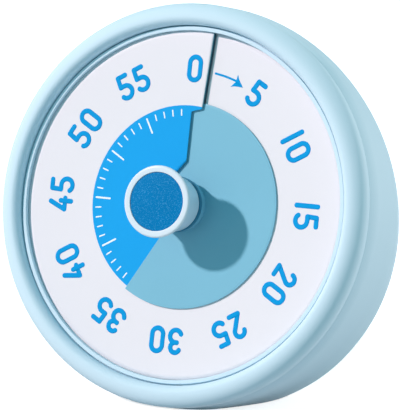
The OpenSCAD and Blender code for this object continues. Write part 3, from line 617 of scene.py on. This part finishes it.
# A bent arrow: a ribbon along the circle, and a head of two sheets. Each runs from the line between the
# notch and a barb to the tip, side + (tip - side) t, and bows in towards the notch by
# bow v (1 - t) sin(pi t) of the way, where v goes from 0 at the notch to 1 at the barb.
def buildArrow(s):
    # A place as a point: x = radius sin a, y = radius cos a.
    def spot(place):
        a = math.radians(place[1])
        return np.array([place[0] * math.sin(a), place[0] * math.cos(a)])

    a = np.radians(np.linspace(s["start"], s["end"], s["shaftSteps"]))
    shaft = ribbon(np.stack([s["radius"] * np.sin(a), s["radius"] * np.cos(a)], -1), s["stroke"])
    t = np.linspace(0, s["headEnd"], s["headSteps"])[:, None, None]
    v = np.linspace(0, 1, s["headRows"])[None, :, None]
    tip, notch = spot(s["tip"]), spot(s["notch"])
    heads = []
    for barb in ("upper", "lower"):
        side = notch + (spot(s[barb]) - notch) * v
        pull = s["bow"] * np.sin(math.pi * t) * v * (1 - t)
        heads.append(side + (tip - side) * t + (notch - side) * pull)
    strips = [(strip, False, s["end"]) for strip in [shaft] + heads]
    layPrint("turnArrow", strips, materials["figureBlue"])


# A tick for each minute, longer and thicker at the fives: a straight ribbon turned to the minute's angle.
def buildTicks(s):
    strips = []
    for minute in range(1, 60):
        major = minute % 5 == 0
        inner = s["majorInner"] if major else s["minorInner"]
        path = line((0, inner), (0, s["tickOuter"]), steps=5)
        strip = ribbon(path, s["tickStroke"] if major else s["minorStroke"])
        clock = minute * minuteAngle
        strips.append((placeFigure(strip, 0, clock, 0), False, clock))
    layPrint("minuteTicks", strips, materials["tickWhite"])


discShape = {"radius": 22.5, "thickness": 0.25, "gap": 0.17, "clock": 211.0, "sweep": 359.6, "around": 481,
             "rows": 25, "bevel": 0.04, "bevelSteps": 2, "bevelLimit": 50, "hub": 5.6, "underHub": 0.4,
             "hubTop": 2.103, "hubFoot": -0.997, "footRound": 0.1, "topRound": 0.2, "hubAround": 200}


# The disc winds as the dial does, a gap above it, and ends at the clock angle that is set: its upper side is
# at the winding height + gap + thickness. Its hub is a plain barrel with a rounded upper edge.
def buildDisc(s):
    angle = np.linspace(s["clock"] - s["sweep"], s["clock"], s["around"])[:, None]
    r = np.linspace(s["hub"] - s["underHub"], s["radius"], s["rows"])[None]
    a = np.radians(angle)
    height = windingHeight(angle) + s["gap"] + s["thickness"]
    points = onFace(r * np.sin(a), r * np.cos(a), height)
    faces = gridFaces(s["around"], s["rows"])
    sheet = addPiece("discSheet", points, [faces], materials["discBlue"], "disc", closed=False)
    thicken(sheet, s["thickness"])
    roundEdges(sheet, s["bevel"], s["bevelSteps"], s["bevelLimit"])
    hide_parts("time_disc")
    profile = rounded([(0, s["hubFoot"], 0), (s["hub"], s["hubFoot"], s["footRound"]),
                       (s["hub"], s["hubTop"], s["topRound"]), (0, s["hubTop"], 0)], steps=6)
    hub = turned("discHub", profile, materials["hubBlue"], "disc", s["hubAround"])
    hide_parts("disc_hub")


knobShape = {"head": 7.8, "top": 12.75, "headRound": 0.5, "lipRound": 0.12, "neck": 6.5, "sweepHeight": 2.6,
             "barrel": 5.95, "barrelRound": 0.12, "groove": 0.3, "grooveDepth": 0.4, "collar": 6.1,
             "collarFoot": 2.77, "collarHeight": 0.95, "collarFootRound": 0.12, "collarTopRound": 0.15,
             "stem": 3.0, "stemFoot": -1.8, "stemRound": 0.1, "paintMargin": 0.01, "around": 240,
             "inlay": 6.35, "inlayFloor": 11.95, "inlayHeight": 0.6, "inlayGap": 0.05, "inlayDome": 0.05,
             "inlayRound": 0.12, "inlayAround": 160}


# The knob: a flat lip about the inlay, a head that sweeps in to the barrel along a quarter ellipse, a
# groove and a collar. The collar and all below it take a darker teal, painted shade under the head. The
# inlay lies in the head's end.
def buildKnob(s):
    rimOut = s["top"] - s["headRound"]
    under = rimOut - s["sweepHeight"]
    collarTop = s["collarFoot"] + s["collarHeight"]
    barrelFoot = collarTop + s["groove"]
    grooveRadius = s["barrel"] - s["grooveDepth"]
    lip = s["lipRound"]
    below = rounded([(0, s["stemFoot"], 0), (s["stem"], s["stemFoot"], s["stemRound"]),
                     (s["stem"], s["collarFoot"], 0), (s["collar"], s["collarFoot"], s["collarFootRound"]),
                     (s["collar"], collarTop, s["collarTopRound"]), (grooveRadius, collarTop, 0),
                     (grooveRadius, barrelFoot, 0), (s["barrel"], barrelFoot, s["barrelRound"]),
                     (s["neck"], under, 0)], steps=6)
    sweep = arc(s["head"], under, s["head"] - s["neck"], rimOut - under, 180, 96, steps=18)[1:]
    outside = arc(s["head"] - s["headRound"], rimOut, s["headRound"], s["headRound"], 0, 90, steps=12)
    inside = arc(s["inlay"] + lip, s["top"] - lip, lip, lip, 90, 180, steps=6)
    floor = [[s["inlay"], s["inlayFloor"]], [0, s["inlayFloor"]]]
    profile = np.concatenate([below, sweep, outside, inside, floor])
    piece = turned("knobGrip", profile, materials["knobIce"], "knob", s["around"])
    # The rows below the barrel take the darker teal: painted shade under the knob's head.
    picked = profile[1:-2, 1] < barrelFoot - s["paintMargin"]
    paintRows(piece, materials["collarPaintedShade"], picked, s["around"])
    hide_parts("knob")
    high = s["inlayFloor"] + s["inlayHeight"]
    edge = s["inlay"] - s["inlayGap"]
    face = rounded([(0, s["inlayFloor"], 0), (edge, s["inlayFloor"], 0), (edge, high, s["inlayRound"]),
                    (0, high + s["inlayDome"], 0)], steps=6)
    inlay = turned("knobInlay", face, inlaySparkle, "knob", s["inlayAround"])
    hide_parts("knob_inlay")


buildBezel(bezelShape)
buildDialRing(dialRingShape)
buildDial(dialShape)
buildFigures(printShape)
buildArrow(arrowShape)
buildTicks(printShape)
buildDisc(discShape)
buildKnob(knobShape)
print("pieces built")

# The other pieces keep their solids and take a finish.
nodeFinish = {
    "rear_case": "caseBlue", "battery_door": "caseBlue", "chassis": "ringBlue",
    "movement_cover": "innerWhite", "arbor": "platedSteel", "clutch_spring": "platedSteel",
    "train_pins": "platedSteel", "movement_screws": "platedSteel", "case_screws": "platedSteel",
    "battery_button": "platedSteel", "positive_contact": "platedSteel", "negative_contact": "platedSteel",
    "volume_switch": "platedSteel", "time_wheel": "gearPlastic", "second_wheel": "gearPlastic",
    "third_wheel": "gearPlastic", "coil_bobbin": "gearPlastic", "rotor": "blackPlastic",
    "crystal_and_chip": "blackPlastic", "volume_slider": "blackPlastic", "stator": "motorIron",
    "coil_winding": "copperWire", "circuit_board": "boardGreen", "buzzer": "soundBrass",
    "battery": "cellJacket",
}
for nodeName, finish in nodeFinish.items():
    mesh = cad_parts[nodeName].data
    mesh.materials.clear()
    mesh.materials.append(materials[finish])
print("solids painted:", len(nodeFinish))


# One for camera, glossy and transmission rays and nought for all others: the largest of the three flags.
def sightRays(tree, at):
    path = wire(tree, "ShaderNodeLightPath", at)
    most = wire(tree, "ShaderNodeMath", (at[0] + 200, at[1]), operation="MAXIMUM")
    tree.links.new(path.outputs["Is Camera Ray"], most.inputs[0])
    tree.links.new(path.outputs["Is Glossy Ray"], most.inputs[1])
    both = wire(tree, "ShaderNodeMath", (at[0] + 400, at[1]), operation="MAXIMUM")
    tree.links.new(most.outputs[0], both.inputs[0])
    tree.links.new(path.outputs["Is Transmission Ray"], both.inputs[1])
    return both.outputs[0]


# The floor is floorSize metres wide.
roomLook = {"floorSize": 6.0, "floor": "bcc2c6", "floorRoughness": 0.9, "floorGlow": 0.8,
            "fill": (0.29, 0.92, 1.0), "world": 0.43}


# A pale floor that also glows by the sight rays' flag times floorGlow, and a world that is white for sight
# rays and lights the object with the dimmer fill colour.
def makeRoom(s):
    material, tree, shader = newMaterial("floorWhite")
    shader.inputs["Roughness"].default_value = s["floorRoughness"]
    shader.inputs["Base Color"].default_value = paint(s["floor"])
    shader.inputs["Emission Color"].default_value = (1, 1, 1, 1)
    glow = wire(tree, "ShaderNodeMath", (-200, -200), operation="MULTIPLY")
    glow.inputs[1].default_value = s["floorGlow"]
    tree.links.new(sightRays(tree, (-900, -200)), glow.inputs[0])
    tree.links.new(glow.outputs[0], shader.inputs["Emission Strength"])
    half = s["floorSize"] / 2
    corners = [(-half, -half, 0), (half, -half, 0), (half, half, 0), (-half, half, 0)]
    mesh = bpy.data.meshes.new("floor")
    mesh.from_pydata(corners, [], [(0, 1, 2, 3)])
    mesh.materials.append(material)
    floor = bpy.data.objects.new("floor", mesh)
    bpy.context.scene.collection.objects.link(floor)
    world = bpy.data.worlds.new("room")
    bpy.context.scene.world = world
    world.use_nodes = True
    tree = world.node_tree
    back = tree.nodes["Background"]
    seen = sightRays(tree, (-900, 0))
    level = wire(tree, "ShaderNodeMapRange", (-300, 0))
    level.inputs["To Min"].default_value = s["world"]
    level.inputs["To Max"].default_value = 1.0
    tree.links.new(seen, level.inputs["Value"])
    tree.links.new(level.outputs[0], back.inputs["Strength"])
    mix = wire(tree, "ShaderNodeMix", (-300, 300), data_type="RGBA")
    mix.inputs["A"].default_value = (*s["fill"], 1)
    mix.inputs["B"].default_value = (1, 1, 1, 1)
    tree.links.new(seen, mix.inputs["Factor"])
    tree.links.new(mix.outputs["Result"], back.inputs["Color"])


lamps = {
    "keyLamp": {"strength": 3.29, "tint": (1.0, 0.785, 0.757), "spread": 3.0,
                "source": (-0.544, -0.651, 0.529)},
    "sideLamp": {"strength": 2.58, "tint": (1.0, 0.78, 0.733), "spread": 50.0, "source": (0.7, 0.66, 0.2)},
}


# A sun that shines from the side (x, y, z): tipped by the arc cosine of z, then turned about the upright
# by the arc tangent of x over -y. Its spread is in degrees.
def addSun(name, strength, tint, spread, source):
    lamp = bpy.data.lights.new(name, "SUN")
    lamp.energy = strength
    lamp.color = tint
    lamp.angle = math.radians(spread)
    sun = bpy.data.objects.new(name, lamp)
    direction = np.array(source, float)
    x, y, z = direction / np.linalg.norm(direction)
    sun.rotation_euler = (math.acos(z), 0, math.atan2(x, -y))
    bpy.context.scene.collection.objects.link(sun)


# Lengths of the camera's place are in metres, and the sensor's width is in millimetres.
cameraPlace = {"azimuth": 27.0, "elevation": 11.1, "distance": 0.874125, "right": 0.0037575,
               "up": 0.00003375, "focalPixels": 4033.0, "imageHeight": 410.0, "sensor": 36.0, "near": 0.05}


# The camera looks at the dial's middle along an azimuth a and an elevation e, from a distance along
# (sin a cos e, -cos a cos e, sin e), and is slid sideways and up. Its lens is the focal length in pixels
# over the image's height, times the sensor.
def makeCamera(s):
    a, e = math.radians(s["azimuth"]), math.radians(s["elevation"])
    back = np.array([math.sin(a) * math.cos(e), -math.cos(a) * math.cos(e), math.sin(e)])
    right = np.array([math.cos(a), math.sin(a), 0])
    up = np.cross(back, right)
    middle = np.array([0, 0, stand["dialHeight"] / perMetre])
    camera = bpy.data.cameras.new("camera")
    camera.sensor_width = s["sensor"]
    camera.lens = s["focalPixels"] / s["imageHeight"] * s["sensor"]
    camera.clip_start = s["near"]
    holder = bpy.data.objects.new("camera", camera)
    holder.location = middle + s["distance"] * back + s["right"] * right + s["up"] * up
    holder.rotation_euler = (math.radians(90) - e, 0, a)
    bpy.context.scene.collection.objects.link(holder)
    bpy.context.scene.camera = holder


makeRoom(roomLook)
for lampName, lampLook in lamps.items():
    addSun(lampName, **lampLook)
makeCamera(cameraPlace)
bpy.context.scene.view_settings.view_transform = "Standard"
print("room, lamps and camera ready")
